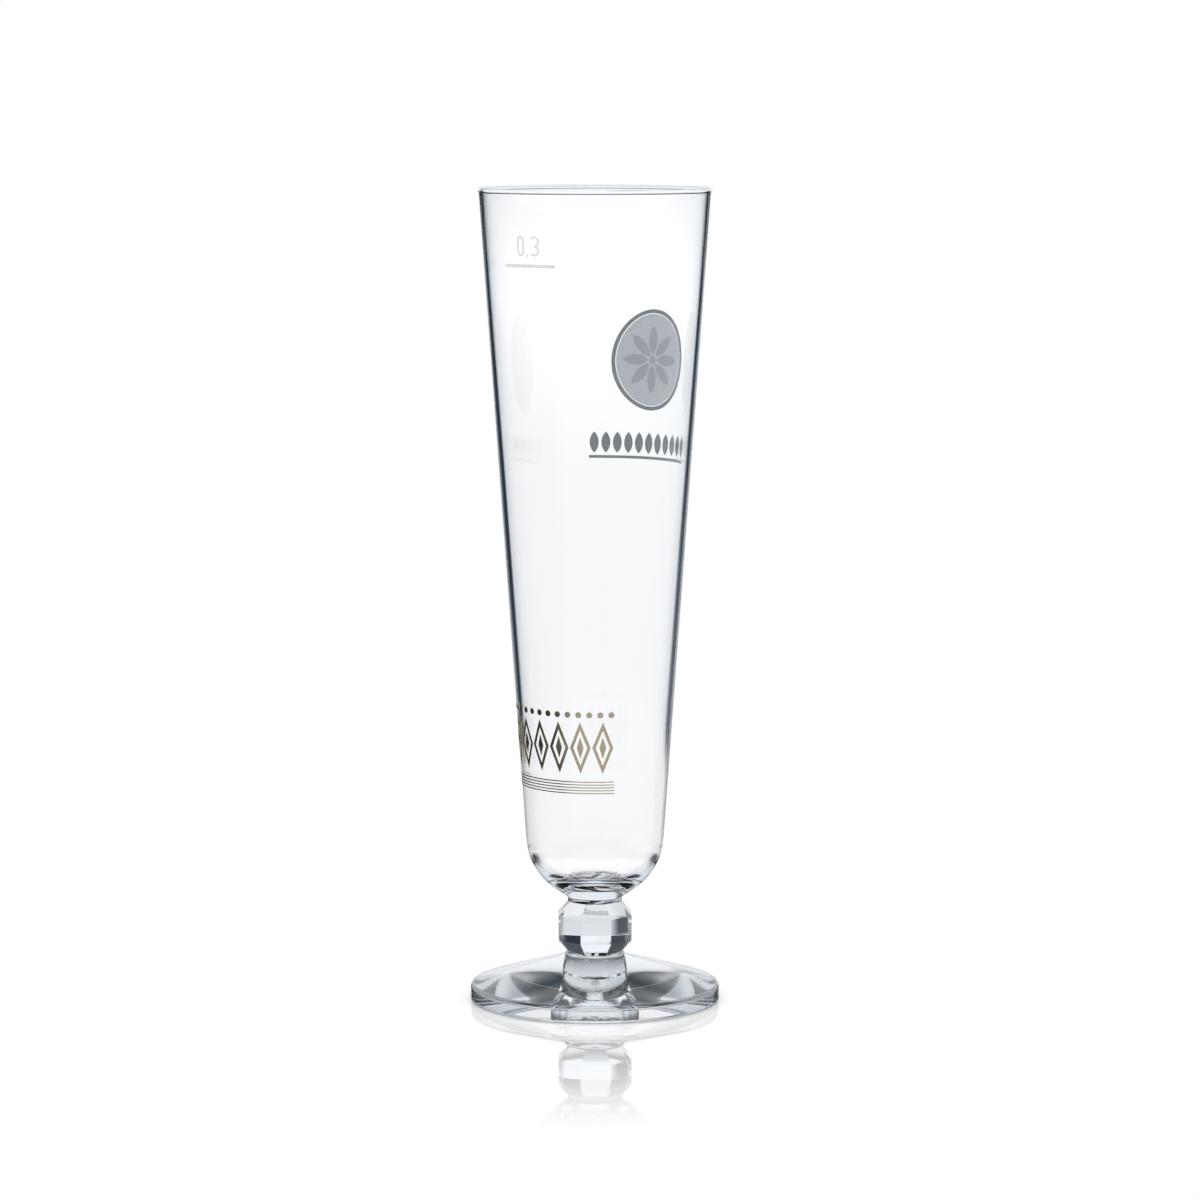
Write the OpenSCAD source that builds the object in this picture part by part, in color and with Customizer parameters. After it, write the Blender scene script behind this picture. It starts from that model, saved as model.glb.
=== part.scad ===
// Stemmed pilsner glass: a straight tapered bowl on a short faceted knop and a wide cone-shaped foot.
// The foot stands on z = 0 and the z axis is the axis of the glass. The gold band faces -y.

/* [Bowl] */
// Height of the whole glass, from the table to the lip
glass_h = 228.4; // [190:0.1:260]
// Outer radius where the straight wall runs into the base curve
wall_foot_r = 19.3; // [17:0.1:22]
// Lean of the straight wall from upright, in degrees
wall_lean = 4.08; // [2:0.01:6]
// Thickness of the wall where it runs into the base curve
wall_t = 2.2; // [1.4:0.05:3]
// Outer radius of the curve between wall and underside
base_round_r = 17.6; // [14:0.1:20]
// Steepness of the underside, in degrees from upright
under_lean = 54; // [45:1:62]
// Thickness of the glass under the beer, on the axis
base_t = 5.2; // [3.5:0.1:8]
// Inner radius of the curve between wall and floor of the bowl
inner_round_r = 11; // [7:0.1:13]

/* [Lip] */
// Thickness of the wall at the lip
lip_t = 0.9; // [0.8:0.05:1.4]
// Radius of the melted bead along the lip
lip_bead_r = 0.65; // [0.6:0.05:1.3]
// How far the bead stands out of the wall
lip_proud = 0.35; // [0.2:0.05:0.7]

/* [Stem] */
// Radius of the fused neck under the bowl
neck_r = 7.6; // [7.5:0.1:9]
// Height of the fused neck
neck_h = 1; // [0.6:0.1:3]
// Radius of the knop over its corners
knop_r = 11.1; // [9:0.1:14]
// Height of the knop
knop_h = 14.7; // [11:0.1:20]
// Height of the upright flats of the knop
knop_flat_h = 7; // [4:0.1:9]
// Half the width of the knop at its two ends, over the flats
knop_end_w = 7; // [5.5:0.1:7]
// Turn of the knop against the gold band, in degrees
knop_turn = 15; // [0:1:45]
// Radius of the fused collar under the knop
collar_r = 8.4; // [8.1:0.1:9.4]
// Height of the fused collar
collar_h = 0.8; // [0.5:0.1:2]

/* [Foot] */
// Outer radius of the foot
foot_r = 35.1; // [30:0.1:42]
// Thickness of the foot at its rim
foot_rim_h = 4.9; // [3.6:0.1:6]
// Height of the foot at the stem
foot_h = 12.6; // [9:0.1:18]
// Rounding of the upper edge of the foot
foot_top_round = 1.5; // [0.8:0.1:2]
// Rounding of the lower edge of the foot
foot_low_round = 0.9; // [0.4:0.1:1.2]
// Width of the flat ring that the glass stands on
standing_w = 3; // [2:0.1:5]
// Depth of the hollow under the foot, on the axis
hollow_h = 0.5; // [0.3:0.1:3]
// How far the collar stands out past the stem end that is set in the foot
peg_step = 0.4; // [0.3:0.05:1.5]
// Clear gap between the stem end and the side of its socket
peg_gap = 0.1; // [0.05:0.05:0.2]
// Thickness of the glass under the stem end
socket_floor_t = 0.7; // [0.5:0.1:3]

/* [Gold band] */
// Thickness of every print on the wall
print_t = 0.12; // [0.1:0.01:0.2]
// Height of the lowest stripe of the gold band above the foot of the straight wall
gold_rise = 16.3; // [5:0.1:30]
// Length of the gold band along the wall
gold_l = 36.6; // [24:0.1:50]
// Height of one gold stripe
stripe_h = 0.3; // [0.2:0.05:0.5]
// Distance from one gold stripe to the next
stripe_pitch = 0.8; // [0.6:0.05:1.4]
// Number of gold stripes
stripe_n = 5; // [3:1:6]
// Clear height between the stripes and the row of lozenges
stripe_gap = 2.2; // [0.6:0.1:3.5]
// Height of the row of lozenges
lozenge_h = 14.6; // [10:0.1:18]
// Number of lozenges
lozenge_n = 6; // [4:1:8]
// Width of the line that draws a lozenge
lozenge_line = 0.85; // [0.5:0.05:1.2]
// Clear width between the corners of two lozenges
lozenge_clear = 0.3; // [0.1:0.05:1]
// Width and height of the filled core of a lozenge
lozenge_core = [1.9, 6.2];
// Clear height between the lozenges and the gold beads
gold_gap = 1.1; // [0.6:0.1:2]
// Radius of the gold beads over the lozenges
gold_bead_r = 0.85; // [0.5:0.05:1.2]
// Number of the gold beads
gold_bead_n = 13; // [9:1:17]

/* [Back prints] */
// Depth of the middle of the medallion below the lip
medallion_drop = 49.5; // [36:0.1:60]
// Width and height of the medallion
medallion_size = [25.6, 28.6];
// Width of the border of the medallion
medallion_border_w = 1.1; // [0.6:0.1:2]
// Clear ring between the border and the field of the medallion
medallion_gap = 0.2; // [0.1:0.05:1]
// Number of petals of the rosette
petal_n = 8; // [6:1:12]
// Width of a petal
petal_w = 3.1; // [2:0.1:3.6]
// Clear width between the tips of the petals and the side of the ground
petal_margin = 1.8; // [0.5:0.1:4]
// Clear radius at the middle of the rosette
rosette_eye_r = 1.5; // [1:0.1:2.5]
// Radius of the bead in the eye of the rosette
rosette_bead_r = 1.1; // [0.6:0.1:2]
// Clear height between the medallion and the frieze
frieze_drop = 6.3; // [3:0.1:12]
// Length of the frieze along the wall
frieze_l = 37.2; // [24:0.1:50]
// Width and height of one leaf of the frieze
leaf_size = [2.7, 6];
// Number of leaves of the frieze
leaf_n = 11; // [7:1:11]
// Height of the line under the frieze
frieze_line_h = 0.8; // [0.4:0.1:1.5]
// Clear height between the frieze and its line
frieze_gap = 0.7; // [0.4:0.1:2]

/* [Measure] */
// Depth of the filling line below the lip
fill_drop = 20.7; // [14:0.1:26]
// Length of the filling line along the wall
fill_l = 16.8; // [10:0.1:24]
// Height of the filling line itself
fill_line_h = 0.9; // [0.4:0.1:1.4]
// Height of the numerals
numeral_h = 5.5; // [3:0.1:7]
// Clear height between the filling line and the numerals
numeral_gap = 2.2; // [1:0.1:4]
// Width of the strokes of the numerals
numeral_line = 0.55; // [0.3:0.05:0.7]

/* [Hidden] */

// Overrun of a cut past the solid that it cuts
over = 1;
// Points along one quarter of a rounding
quarter_n = 12;
// Points round an oval
oval_n = 72;
// Steps along one side of a leaf
leaf_side_n = 8;
// Width of the nought as a share of its height
numeral_width_share = 0.42;

// Heights of the joints, from the table up
knop_z = foot_h + collar_h;
neck_z = knop_z + knop_h;
bowl_z = neck_z + neck_h;

// The outer base curve of the bowl touches the wall above it and the underside below it
curve_end_r = wall_foot_r - base_round_r * (cos(wall_lean) - cos(under_lean));
curve_end_z = bowl_z + (curve_end_r - neck_r) / tan(under_lean);
wall_foot_z = curve_end_z + base_round_r * (sin(under_lean) - sin(wall_lean));
curve_centre = [
    wall_foot_r - base_round_r * cos(wall_lean),
    wall_foot_z + base_round_r * sin(wall_lean)
];

// Top of the straight wall, at the middle of the lip bead
lip_z = glass_h - lip_bead_r;
lip_centre = [outer_r(lip_z) + lip_proud - lip_bead_r, lip_z];

// The wall thins towards the lip, so its inner face leans a little more than its outer face
inner_lean = atan(tan(wall_lean) + (wall_t - lip_t) / cos(wall_lean) / (lip_z - wall_foot_z));

// The inner curve touches the inner face of the wall and the floor of the bowl
floor_z = bowl_z + base_t;
inner_centre_z = floor_z + inner_round_r;
inner_centre = [
    inner_r(inner_centre_z) - inner_round_r / cos(inner_lean),
    inner_centre_z
];

knop_flat_w = knop_r * cos(180 / 8);
knop_bevel_h = (knop_h - knop_flat_h) / 2;
standing_r = foot_r - foot_low_round;
hollow_r = standing_r - standing_w;
peg_r = collar_r - peg_step;
socket_r = peg_r + peg_gap;
socket_z = hollow_h + socket_floor_t;

// The cone of the foot starts at the collar and touches the rounding of the rim
rim_centre = [foot_r, foot_rim_h] - foot_top_round * [1, 1];
cone_run = [collar_r, foot_h] - rim_centre;
rim_end = atan2(cone_run[1], cone_run[0]) - acos(foot_top_round / norm(cone_run));

gold_z = wall_foot_z + gold_rise;
lozenge_z = gold_z + stripe_h + (stripe_n - 1) * stripe_pitch + stripe_gap;
lozenge_mid_z = lozenge_z + lozenge_h / 2;
lozenge_step = wall_angle(gold_l, lozenge_z) / lozenge_n;
lozenge_size = [gold_l / lozenge_n - lozenge_clear, lozenge_h];
gold_bead_z = lozenge_z + lozenge_h + gold_gap + gold_bead_r;
medallion_z = glass_h - medallion_drop;
field_size = medallion_size - 2 * (medallion_border_w + medallion_gap) * [1, 1];
petal_size = [petal_w, field_size[0] / 2 - rosette_eye_r - petal_margin];
frieze_z = medallion_z - (medallion_size[1] + leaf_size[1]) / 2 - frieze_drop;
frieze_line_z = frieze_z - leaf_size[1] / 2 - frieze_gap - frieze_line_h;
fill_z = glass_h - fill_drop;
numeral_z = fill_z + fill_line_h / 2 + numeral_gap;
numeral_w = numeral_h * numeral_width_share;

// Outer and inner radius of the straight wall at a height
function outer_r(z) = wall_foot_r + (z - wall_foot_z) * tan(wall_lean);
function inner_r(z) = wall_foot_r - wall_t / cos(wall_lean) + (z - wall_foot_z) * tan(inner_lean);

// Angle that a length along the wall takes up at a height
function wall_angle(length, z) = length / outer_r(z) * 180 / PI;

// Points of an arc, both ends included
function arc_points(centre, r, from, to, n) = [
    for (i = [0:n]) let (a = from + (to - from) * i / n) centre + r * [cos(a), sin(a)]
];

// Outline of an oval from its full width and height
function oval_points(size) = [
    for (i = [0:oval_n - 1]) let (a = 360 * i / oval_n) [size[0] * cos(a), size[1] * sin(a)] / 2
];

// Half section of the bowl, without the lip bead
module bowl_section() {
    polygon(concat(
        [[0, bowl_z], [neck_r, bowl_z]],
        arc_points(curve_centre, base_round_r, -under_lean, -wall_lean, quarter_n),
        [[outer_r(lip_z), lip_z], [inner_r(lip_z), lip_z]],
        arc_points(inner_centre, inner_round_r, -inner_lean, -90, quarter_n),
        [[0, floor_z]]
    ));
}

// Tapered bowl with its thick base and rounded lip, closed below where it is fused to the stem
module bowl() {
    color([0.92, 0.95, 0.96, 0.35])
    rotate_extrude($fn = 180)
    union() {
        bowl_section();
        translate(lip_centre)
        circle(r = lip_bead_r, $fn = 32);
    }
}

// Narrow fused joint between the bowl and the knop
module neck_ring() {
    color([0.82, 0.86, 0.88, 0.5])
    translate([0, 0, neck_z])
    cylinder(r = neck_r, h = neck_h, $fn = 96);
}

// One pair of facing knop flats with their bevels, as a bar across the axis
module knop_bar() {
    rotate([90, 0, 0])
    linear_extrude(height = 4 * knop_r, center = true)
    polygon([
        [-knop_end_w, 0], [knop_end_w, 0],
        [knop_flat_w, knop_bevel_h], [knop_flat_w, knop_h - knop_bevel_h],
        [knop_end_w, knop_h], [-knop_end_w, knop_h],
        [-knop_flat_w, knop_h - knop_bevel_h], [-knop_flat_w, knop_bevel_h]
    ]);
}

// Solid knop with eight flats and a bevel over and under each one
module stem_knop() {
    color([0.80, 0.86, 0.88, 0.5])
    translate([0, 0, knop_z])
    rotate([0, 0, knop_turn + 180 / 8])
    intersection() {
        knop_bar();
        rotate([0, 0, 45]) knop_bar();
        rotate([0, 0, 90]) knop_bar();
        rotate([0, 0, 135]) knop_bar();
    }
}

// Low round collar where the knop is fused to the foot
module foot_collar() {
    color([0.82, 0.86, 0.88, 0.5])
    translate([0, 0, foot_h])
    rotate_extrude($fn = 96)
    polygon(concat(
        [[0, 0]],
        arc_points([collar_r - collar_h / 2, collar_h / 2], collar_h / 2, -90, 90, quarter_n),
        [[0, collar_h]]
    ));
}

// End of the stem, set in the socket of the foot under the collar
module stem_peg() {
    color([0.82, 0.86, 0.88, 0.5])
    translate([0, 0, socket_z])
    cylinder(r = peg_r, h = foot_h - socket_z, $fn = 96);
}

// Cone-shaped foot with a rounded rim, a shallow hollow inside its standing ring and a socket for the stem
module foot() {
    color([0.90, 0.94, 0.95, 0.4])
    rotate_extrude($fn = 180)
    polygon(concat(
        [for (i = [0:quarter_n]) [hollow_r * i / quarter_n, hollow_h * (1 - pow(i / quarter_n, 2))]],
        arc_points([standing_r, foot_low_round], foot_low_round, -90, 0, quarter_n),
        arc_points(rim_centre, foot_top_round, 0, rim_end, quarter_n),
        [[collar_r, foot_h], [socket_r, foot_h], [socket_r, socket_z], [0, socket_z]]
    ));
}

// Thin skin on the straight wall between two heights, over part of the turn round -y
module wall_skin(low, high, angle) {
    rotate([0, 0, -90 - angle / 2])
    rotate_extrude(angle = angle, $fn = 180)
    polygon([
        [outer_r(low), low], [outer_r(low) + print_t, low],
        [outer_r(high) + print_t, high], [outer_r(high), high]
    ]);
}

// Print on the wall: the drawing, centred at a height and at an angle from -y, as a thin skin.
// The size is the room that the drawing takes, full width and height.
module stamp(angle, z, size) {
    rotate([0, 0, angle])
    intersection() {
        wall_skin(z - size[1], z + size[1], wall_angle(2 * size[0], z));
        rotate([90, 0, 0])
        translate([0, z, 0])
        linear_extrude(height = outer_r(glass_h) + over)
        children();
    }
}

// Copies of a stamp side by side, centred on -y
module stamp_row(n, step, z, size) {
    for (i = [0:n - 1])
        stamp((i - (n - 1) / 2) * step, z, size)
        children();
}

module lozenge(size) {
    polygon([[0, -size[1]] / 2, [size[0], 0] / 2, [0, size[1]] / 2, [-size[0], 0] / 2]);
}

// Lozenge drawn with a line of even width
module lozenge_ring(size, line) {
    inset = line * norm(size) / size[1];
    difference() {
        lozenge(size);
        lozenge(size - 2 * inset * [1, size[1] / size[0]]);
    }
}

// Pointed leaf between two arcs of one radius
module leaf(size) {
    r = (size[0] * size[0] + size[1] * size[1]) / (4 * size[0]);
    reach = asin(size[1] / 2 / r);
    side = arc_points([size[0] / 2 - r, 0], r, -reach, reach, leaf_side_n);
    polygon(concat(side, [for (i = [1:leaf_side_n - 1]) -side[i]]));
}

// Stripes under the gold band, one above the other
module gold_stripes() {
    color([0.72, 0.63, 0.47])
    for (i = [0:stripe_n - 1]) {
        low = gold_z + i * stripe_pitch;
        wall_skin(low, low + stripe_h, wall_angle(gold_l, lozenge_z));
    }
}

// Row of open lozenges, nearly corner to corner
module gold_lozenges() {
    color([0.72, 0.63, 0.47])
    stamp_row(lozenge_n, lozenge_step, lozenge_mid_z, lozenge_size)
    lozenge_ring(lozenge_size, lozenge_line);
}

// Filled lozenge inside each open one
module gold_lozenge_cores() {
    color([0.72, 0.63, 0.47])
    stamp_row(lozenge_n, lozenge_step, lozenge_mid_z, lozenge_core)
    lozenge(lozenge_core);
}

// Row of gold beads over the lozenges
module gold_beads() {
    step = wall_angle(gold_l - 2 * gold_bead_r, lozenge_z) / (gold_bead_n - 1);
    color([0.72, 0.63, 0.47])
    stamp_row(gold_bead_n, step, gold_bead_z, 2 * gold_bead_r * [1, 1])
    circle(r = gold_bead_r, $fn = 12);
}

// Print at the place of the medallion, on the +y side
module medallion_print() {
    stamp(180, medallion_z, medallion_size)
    children();
}

// One petal of the rosette in its place
module petal_at(angle) {
    rotate(angle)
    translate([0, rosette_eye_r + petal_size[1] / 2])
    leaf(petal_size);
}

// Flat drawing of the rosette: petals round a bead
module rosette_drawing() {
    circle(r = rosette_bead_r, $fn = 32);
    for (i = [0:petal_n - 1]) petal_at(360 / petal_n * i);
}

// Pale oval ground, open where the rosette is printed
module medallion_field() {
    color([0.80, 0.81, 0.84])
    medallion_print()
    difference() {
        polygon(oval_points(field_size));
        rosette_drawing();
    }
}

// Dark oval border
module medallion_border() {
    color([0.33, 0.36, 0.38])
    medallion_print()
    difference() {
        polygon(oval_points(medallion_size));
        polygon(oval_points(medallion_size - 2 * medallion_border_w * [1, 1]));
    }
}

// Grey rosette in the ground
module medallion_rosette() {
    color([0.58, 0.61, 0.66])
    medallion_print()
    rosette_drawing();
}

// Row of upright leaves under the medallion
module frieze_leaves() {
    step = wall_angle(frieze_l - leaf_size[0], frieze_z) / (leaf_n - 1);
    color([0.24, 0.29, 0.28])
    rotate([0, 0, 180])
    stamp_row(leaf_n, step, frieze_z, leaf_size)
    leaf(leaf_size);
}

// Thin line under the leaves
module frieze_line() {
    color([0.24, 0.29, 0.28])
    rotate([0, 0, 180])
    wall_skin(frieze_line_z, frieze_line_z + frieze_line_h, wall_angle(frieze_l, frieze_z));
}

// Frosted line up to which the glass is filled
module filling_line() {
    color([0.86, 0.88, 0.89])
    wall_skin(fill_z - fill_line_h / 2, fill_z + fill_line_h / 2, wall_angle(fill_l, fill_z));
}

// Upright oblong with round ends
module oblong(w, h) {
    for (side = [-1, 1])
        translate([0, side * (h - w) / 2]) circle(r = w / 2, $fn = 48);
    square([w, h - w], center = true);
}

// Numeral nought, centred
module nought(w, h) {
    difference() {
        oblong(w, h);
        oblong(w - 2 * numeral_line, h - 2 * numeral_line);
    }
}

// Upper or lower bow of a three: a ring that is open to the left, towards the other bow
module bow(ring_r) {
    difference() {
        circle(r = ring_r, $fn = 48);
        circle(r = ring_r - numeral_line, $fn = 48);
        translate([-ring_r, -ring_r]) square(ring_r * [1, 1.4]);
    }
}

// Numeral three, centred
module three(h) {
    ring_r = (h + numeral_line) / 4;
    rise = ring_r - numeral_line / 2;
    translate([0, rise]) bow(ring_r);
    mirror([0, 1]) translate([0, rise]) bow(ring_r);
}

// Decimal comma on the line of the numerals' feet
module comma(w) {
    polygon([[-w / 2, w], [w / 2, w], [w / 2, 0], [-w, -w]]);
}

// Plain numerals over the line, the capacity in litres
module measure_numerals() {
    color([0.86, 0.88, 0.89])
    stamp(0, numeral_z + numeral_h / 2, numeral_h * [2, 1]) {
        translate([-numeral_w, 0]) nought(numeral_w, numeral_h);
        translate([0, -numeral_h / 2]) comma(numeral_line);
        translate([numeral_w, 0]) three(numeral_h);
    }
}

bowl();
neck_ring();
stem_knop();
foot_collar();
stem_peg();
foot();
gold_stripes();
gold_lozenges();
gold_lozenge_cores();
gold_beads();
medallion_field();
medallion_border();
medallion_rosette();
frieze_leaves();
frieze_line();
filling_line();
measure_numerals();
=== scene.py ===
import math

import bmesh
import bpy
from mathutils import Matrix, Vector


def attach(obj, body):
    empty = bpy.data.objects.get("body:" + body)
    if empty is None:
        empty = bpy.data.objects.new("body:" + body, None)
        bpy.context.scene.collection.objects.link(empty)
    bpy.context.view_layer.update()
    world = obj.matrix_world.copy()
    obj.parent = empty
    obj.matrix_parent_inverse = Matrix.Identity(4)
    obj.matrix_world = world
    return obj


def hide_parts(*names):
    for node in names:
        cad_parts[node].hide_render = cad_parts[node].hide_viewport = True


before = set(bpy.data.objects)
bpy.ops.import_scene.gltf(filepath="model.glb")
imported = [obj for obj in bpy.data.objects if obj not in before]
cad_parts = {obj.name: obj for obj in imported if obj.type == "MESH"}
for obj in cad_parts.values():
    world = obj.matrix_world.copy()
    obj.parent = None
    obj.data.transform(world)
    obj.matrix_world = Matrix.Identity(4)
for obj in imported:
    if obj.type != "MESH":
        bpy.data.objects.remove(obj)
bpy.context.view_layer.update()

MM = 0.001
TURN = 2 * math.pi

# Sizes of the glass, in millimetres, as the CAD model has them
GLASS_H = 228.4
WALL_FOOT_R = 19.3
WALL_LEAN = math.radians(4.08)
WALL_T = 2.2
LIP_T = 0.9
BASE_ROUND_R = 17.6
UNDER_LEAN = math.radians(54)
BASE_T = 5.2
INNER_ROUND_R = 11.0
LIP_BEAD_R = 0.65
LIP_PROUD = 0.35
NECK_R = 7.6
NECK_H = 1.0
KNOP_R = 11.1
KNOP_H = 14.7
KNOP_FLAT_H = 7.0
KNOP_END_R = 7.0
KNOP_TURN = math.radians(15)
KNOP_SIDES = 8
KNOP_EDGE = 0.12
COLLAR_R = 8.4
COLLAR_H = 0.8
PEG_STEP = 0.4
PEG_GAP = 0.1
PEG_R = COLLAR_R - PEG_STEP
SOCKET_R = PEG_R + PEG_GAP
FOOT_R = 35.1
FOOT_RIM_H = 4.9
FOOT_H = 12.6
FOOT_TOP_ROUND = 1.5
FOOT_LOW_ROUND = 0.9
STANDING_W = 3.0
HOLLOW_H = 0.5
SOCKET_FLOOR_T = 0.7
SOCKET_Z = HOLLOW_H + SOCKET_FLOOR_T

# Heights of the joints
KNOP_Z = FOOT_H + COLLAR_H
NECK_Z = KNOP_Z + KNOP_H
BOWL_Z = NECK_Z + NECK_H

# Base curve of the bowl, outside
CURVE_END_R = WALL_FOOT_R - BASE_ROUND_R * (math.cos(WALL_LEAN) - math.cos(UNDER_LEAN))
CURVE_END_Z = BOWL_Z + (CURVE_END_R - NECK_R) / math.tan(UNDER_LEAN)
WALL_FOOT_Z = CURVE_END_Z + BASE_ROUND_R * (math.sin(UNDER_LEAN) - math.sin(WALL_LEAN))

# Lip: height of the middle of its bead, and the arc of the bead that stands free of the wall
LIP_Z = GLASS_H - LIP_BEAD_R
LIP_ARC = (math.radians(-50), math.radians(230))

# The wall thins towards the lip
INNER_LEAN = math.atan(
    math.tan(WALL_LEAN) + (WALL_T - LIP_T) / math.cos(WALL_LEAN) / (LIP_Z - WALL_FOOT_Z))

# Heights at which the straight wall has points, the last one just under the lip
LIP_DROP = 1.8
WALL_HEIGHTS = (100, 150, 200, GLASS_H - LIP_DROP)

# Steps round the large pieces and the small ones
LARGE_STEPS = 256
SMALL_STEPS = 128

# Edges that bend by more than this stay sharp
SHARP = math.radians(28)
KNOP_SHARP = math.radians(10)
PRINT_SHARP = math.radians(50)

# Points that lie within this many metres of a height and radius count as on them
NEAR = 1e-7

# Prints: how far they lie off the wall, and the side that they face, as a turn from -Y
PRINT_LOW = 0.02
PRINT_HIGH = 0.1
FIELD_LOW = 0.05
ROSETTE_HIGH = 0.12
FRONT = 0.0
BACK = math.pi

# Width of the strips that a print is cut into, and the tolerance of the cuts, in millimetres
FACET = 0.8
CUT_NEAR = 1e-4

# Gold band
GOLD_RISE = 16.3
GOLD_Z = WALL_FOOT_Z + GOLD_RISE
GOLD_L = 36.6
STRIPE_H = 0.3
STRIPE_PITCH = 0.8
STRIPE_N = 5
STRIPE_GAP = 2.2
GOLD_GAP = 1.1
LOZENGE_N = 6
LOZENGE_H = 14.6
LOZENGE_LINE = 0.85
LOZENGE_CLEAR = 0.3
LOZENGE_CORE = (1.9, 6.2)
LOZENGE_Z = GOLD_Z + STRIPE_H + (STRIPE_N - 1) * STRIPE_PITCH + STRIPE_GAP
BEAD_R = 0.85
BEAD_N = 13
BEAD_Z = LOZENGE_Z + LOZENGE_H + GOLD_GAP + BEAD_R

# Medallion and frieze
MEDALLION_DROP = 49.5
MEDALLION_Z = GLASS_H - MEDALLION_DROP
MEDALLION_SIZE = (25.6, 28.6)
BORDER_W = 1.1
BORDER_GAP = 0.2
PETAL_N = 8
PETAL_W = 3.1
PETAL_MARGIN = 1.8
EYE_R = 1.5
EYE_BEAD_R = 1.1
LEAF_SIZE = (2.7, 6.0)
LEAF_N = 11
FRIEZE_L = 37.2
FRIEZE_GAP = 6.3
FRIEZE_Z = MEDALLION_Z - (MEDALLION_SIZE[1] + LEAF_SIZE[1]) / 2 - FRIEZE_GAP
FRIEZE_LINE_H = 0.8
FRIEZE_LINE_GAP = 0.7
FRIEZE_LINE_Z = FRIEZE_Z - LEAF_SIZE[1] / 2 - FRIEZE_LINE_GAP - FRIEZE_LINE_H

# Filling line and its numerals
FILL_DROP = 20.7
FILL_Z = GLASS_H - FILL_DROP
FILL_L = 16.8
FILL_LINE_H = 0.9
NUMERAL_H = 5.5
NUMERAL_LINE = 0.55
NUMERAL_WIDTH_SHARE = 0.42
NUMERAL_W = NUMERAL_WIDTH_SHARE * NUMERAL_H
NUMERAL_GAP = 2.2
NUMERAL_Z = FILL_Z + FILL_LINE_H / 2 + NUMERAL_GAP

# Camera, from the ellipses of the foot and the lip in the photograph. Distances are in metres, the lens
# and the sensor in millimetres, and the shift is a share of the picture's width.
CAMERA_AZIMUTH = math.radians(36)
CAMERA_DISTANCE = 1.2209
CAMERA_HEIGHT = 0.2596
CAMERA_PITCH = math.radians(6.832)
CAMERA_LENS = 131.755
CAMERA_SENSOR = 36
CAMERA_REACH = 20
CAMERA_SHIFT = 0.00425


def outer_r(z):
    """Outer radius of the straight wall at a height."""
    return WALL_FOOT_R + (z - WALL_FOOT_Z) * math.tan(WALL_LEAN)


def inner_r(z):
    """Inner radius of the straight wall at a height."""
    return WALL_FOOT_R - WALL_T / math.cos(WALL_LEAN) + (z - WALL_FOOT_Z) * math.tan(INNER_LEAN)


def arc(centre, r, start, end, steps):
    """Points of an arc in the half section, both ends included; angles in radians."""
    turns = [start + (end - start) * i / steps for i in range(steps + 1)]
    return [(centre[0] + r * math.cos(a), centre[1] + r * math.sin(a)) for a in turns]


def joined(piece, slot, *nodes):
    """Parents a finished piece to the root body, in place of its CAD nodes, which it hides."""
    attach(piece, "root")
    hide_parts(*nodes)
    return piece


def new_object(name, data):
    """A new object in the scene."""
    thing = bpy.data.objects.new(name, data)
    bpy.context.scene.collection.objects.link(thing)
    return thing


def mesh_object(name, bm, materials, sharp=SHARP):
    """An object with smooth faces and sharp edges from a finished mesh."""
    bmesh.ops.recalc_face_normals(bm, faces=bm.faces)
    for face in bm.faces:
        face.smooth = True
    for edge in bm.edges:
        if len(edge.link_faces) == 2 and edge.calc_face_angle() > sharp:
            edge.smooth = False
    mesh = bpy.data.meshes.new(name)
    bm.to_mesh(mesh)
    bm.free()
    for material in materials:
        mesh.materials.append(material)
    return new_object(name, mesh)


def lathe(bm, section, steps, seams=()):
    """Turns a half section round the axis. The bands whose index is in seams get material 1."""
    rings = []
    for r, z in section:
        angles = [TURN * i / steps for i in range(steps)] if r else [0]
        rings.append([bm.verts.new((r * MM * math.cos(a), r * MM * math.sin(a), z * MM)) for a in angles])
    for k in range(len(rings) - 1):
        low, high = rings[k], rings[k + 1]
        for i in range(steps):
            j = (i + 1) % steps
            corners = [low[i % len(low)], low[j % len(low)], high[j % len(high)], high[i % len(high)]]
            corners = list(dict.fromkeys(corners))
            if len(corners) > 2:
                face = bm.faces.new(corners)
                face.material_index = 1 if k in seams else 0


# Helpers for shader nodes

def add_node(tree, kind, **settings):
    node = tree.nodes.new("ShaderNode" + kind)
    for name, value in settings.items():
        setattr(node, name, value)
    return node


def feed(tree, socket, source):
    """Links an output to a socket, or sets the socket to a plain value."""
    if isinstance(source, bpy.types.NodeSocket):
        tree.links.new(source, socket)
    else:
        socket.default_value = source


def calc(tree, operation, *sources):
    """The result of a Math node on its sources, which are outputs or plain values."""
    node = add_node(tree, "Math", operation=operation)
    for socket, source in zip(node.inputs, sources):
        feed(tree, socket, source)
    return node.outputs[0]


def product(tree, first, *others):
    """All of the sources multiplied."""
    for other in others:
        first = calc(tree, "MULTIPLY", first, other)
    return first


def ramp(tree, source, start, end, low=0.0, high=1.0):
    """Runs smoothly from low to high while the source goes from start to end."""
    node = add_node(tree, "MapRange", interpolation_type="SMOOTHSTEP")
    names = ("Value", "From Min", "From Max", "To Min", "To Max")
    for name, value in zip(names, (source, start, end, low, high)):
        feed(tree, node.inputs[name], value)
    return node.outputs[0]


def mix_colour(tree, share, first, second):
    """The first colour at share 0, the second at share 1."""
    node = add_node(tree, "Mix", data_type="RGBA")
    for socket, source in ((node.inputs[0], share), (node.inputs[6], first), (node.inputs[7], second)):
        feed(tree, socket, source)
    return node.outputs[2]


def mix_shader(tree, share, first, second):
    """The first shader at share 0, the second at share 1."""
    node = add_node(tree, "MixShader")
    feed(tree, node.inputs[0], share)
    tree.links.new(first, node.inputs[1])
    tree.links.new(second, node.inputs[2])
    return node.outputs[0]


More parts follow.
